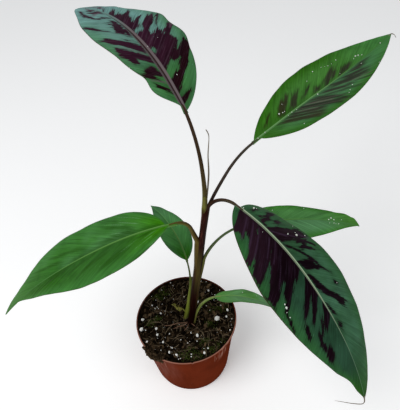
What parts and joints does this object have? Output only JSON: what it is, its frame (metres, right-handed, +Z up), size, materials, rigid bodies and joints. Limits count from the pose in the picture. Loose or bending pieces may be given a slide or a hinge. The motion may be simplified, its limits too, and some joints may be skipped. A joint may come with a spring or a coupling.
{
  "type": "potted blood banana plant",
  "caption": "Young blotch-leaved banana plant with broad pointed leaves on thin arching stalks, growing in soil in a small round tapered nursery pot.",
  "frame": {"origin": "middle of the pot's base, on the surface that it stands on", "axes": "+Z up; -Y towards the side seen from the front; +X to the right of that view, the way the false stem leans"},
  "size_m": [0.3733, 0.2579, 0.3692],
  "materials": {
    "pot_plastic": "satin brown-terracotta polypropylene sheet",
    "potting_mix": "moist dark peat with bark, moss and white perlite",
    "sheath": "waxy maroon-brown leaf sheaths with olive sides",
    "petiole_dark": "waxy dark brown stalk",
    "petiole_green": "waxy olive-green stalk",
    "blade_blotched": "satin bluish-green leaf with maroon blotches along the side veins",
    "blade_green": "satin mid-green leaf with fine side veins",
    "dried_tissue": "dry grey-brown leaf thread"
  },
  "bodies": {
    "root": {"pot": "pot_plastic", "soil": "potting_mix", "pseudostem": "sheath", "dried_thread": "dried_tissue", "petiole_top_left": "petiole_dark", "blade_top_left": "blade_blotched", "petiole_top_right": "petiole_dark", "blade_top_right": "blade_green", "petiole_front_right": "petiole_dark", "blade_front_right": "blade_blotched", "petiole_right": "petiole_green", "blade_right": "blade_green", "petiole_left": "petiole_green", "blade_left": "blade_green", "petiole_small_back": "petiole_green", "blade_small_back": "blade_green", "petiole_small_right": "petiole_green", "blade_small_right": "blade_green"}
  },
  "joints": []
}
